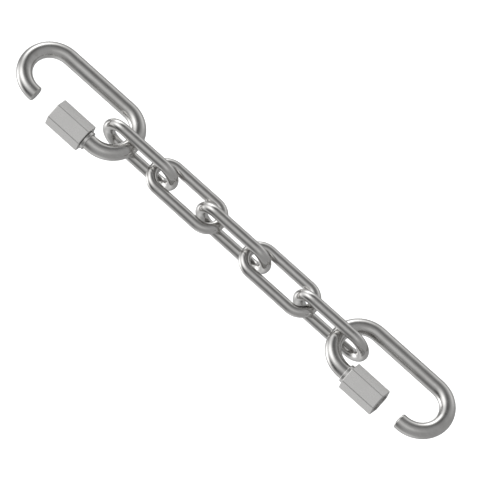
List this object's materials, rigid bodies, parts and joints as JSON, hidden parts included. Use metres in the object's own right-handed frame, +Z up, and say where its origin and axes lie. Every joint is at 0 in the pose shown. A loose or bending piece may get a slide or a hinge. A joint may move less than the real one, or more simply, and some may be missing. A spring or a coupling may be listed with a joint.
{
  "type": "safety chain with quick links",
  "caption": "Short welded safety chain with a screw-shut quick link at each end, both mouths open, laid out straight on its upright links.",
  "frame": {"origin": "on the ground, under the middle of the chain's outline", "axes": "+X along the chain from the first quick link to the second, +Y across it towards the quick links' plain sides, +Z up"},
  "size_m": [0.2734, 0.0376, 0.0212],
  "materials": {
    "rod_steel": "satin bent bar, polished by drawing",
    "chain_steel": "satin drawn wire",
    "nut_steel": "satin machined bar"
  },
  "bodies": {
    "quick_link_1": {"quick_link_rod_1": "rod_steel", "stop_ring_1": "nut_steel"},
    "nut_1": {"quick_link_nut_1": "nut_steel"},
    "link_1": {"chain_link_1": "chain_steel"},
    "link_2": {"chain_link_2": "chain_steel"},
    "link_3": {"chain_link_3": "chain_steel"},
    "link_4": {"chain_link_4": "chain_steel"},
    "link_5": {"chain_link_5": "chain_steel"},
    "quick_link_2": {"quick_link_rod_2": "rod_steel", "stop_ring_2": "nut_steel"},
    "nut_2": {"quick_link_nut_2": "nut_steel"}
  },
  "joints": [
    {"name": "link_1_swing", "type": "hinge", "parent": "quick_link_1", "child": "link_1", "pos_m": [-0.0677, 0.00125, 0.0106], "axis": [0, 1, 0], "range_deg": [-60, 60]},
    {"name": "link_2_swing", "type": "hinge", "parent": "link_1", "child": "link_2", "pos_m": [-0.04095, 0.00125, 0.0106], "axis": [0, 0, 1], "range_deg": [-60, 60]},
    {"name": "link_3_swing", "type": "hinge", "parent": "link_2", "child": "link_3", "pos_m": [-0.01085, 0.00125, 0.0106], "axis": [0, 1, 0], "range_deg": [-60, 60]},
    {"name": "link_4_swing", "type": "hinge", "parent": "link_3", "child": "link_4", "pos_m": [0.01925, 0.00125, 0.0106], "axis": [0, 0, 1], "range_deg": [-60, 60]},
    {"name": "link_5_swing", "type": "hinge", "parent": "link_4", "child": "link_5", "pos_m": [0.04935, 0.00125, 0.0106], "axis": [0, 1, 0], "range_deg": [-60, 60]},
    {"name": "quick_link_2_swing", "type": "hinge", "parent": "link_5", "child": "quick_link_2", "pos_m": [0.08235, 0.00125, 0.0106], "axis": [0, 0, 1], "range_deg": [-60, 60]},
    {"name": "nut_1_travel", "type": "slide", "parent": "quick_link_1", "child": "nut_1", "axis": [-1, 0, 0], "range_m": [0, 0.015]},
    {"name": "nut_2_travel", "type": "slide", "parent": "quick_link_2", "child": "nut_2", "axis": [1, 0, 0], "range_m": [0, 0.015]}
  ]
}
